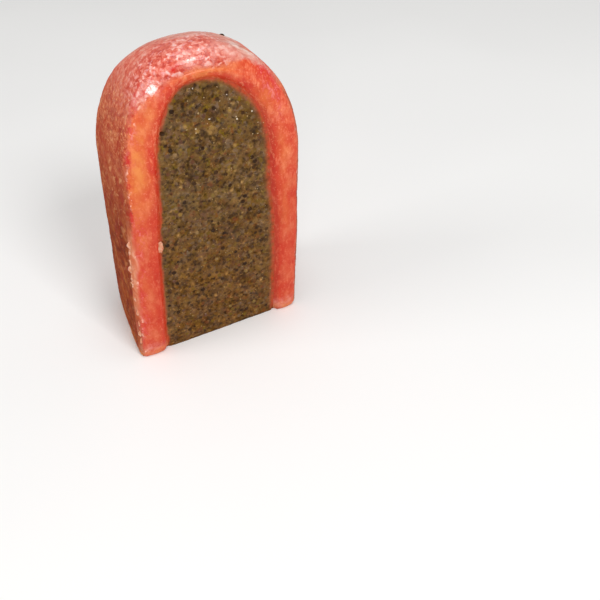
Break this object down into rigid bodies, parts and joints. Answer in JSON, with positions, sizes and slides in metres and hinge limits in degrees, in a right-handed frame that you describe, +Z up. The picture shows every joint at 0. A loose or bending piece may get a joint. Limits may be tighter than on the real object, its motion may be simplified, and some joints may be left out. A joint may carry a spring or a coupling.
{
  "type": "half salami loaf",
  "caption": "Half of a loaf-shaped salami with a sunken arched panel of peppercorns in jelly, standing on its cut end.",
  "frame": {"origin": "centre of the footprint's outline box, on the surface that the cut end stands on", "axes": "+Z up, from the cut end to the domed end; the pepper panel faces -Y; +X to the right as seen from the panel's side"},
  "size_m": [0.1398, 0.082, 0.2244],
  "materials": {
    "meat": "moist cured mince under a glossy jelly film, orange-red with fine pink and white fat flecks",
    "pepper": "whole and sliced peppercorns, dark brown, olive and tan, set in a glossy brown jelly"
  },
  "bodies": {
    "root": {"meat_body": "meat", "pepper_layer": "pepper"}
  },
  "joints": []
}
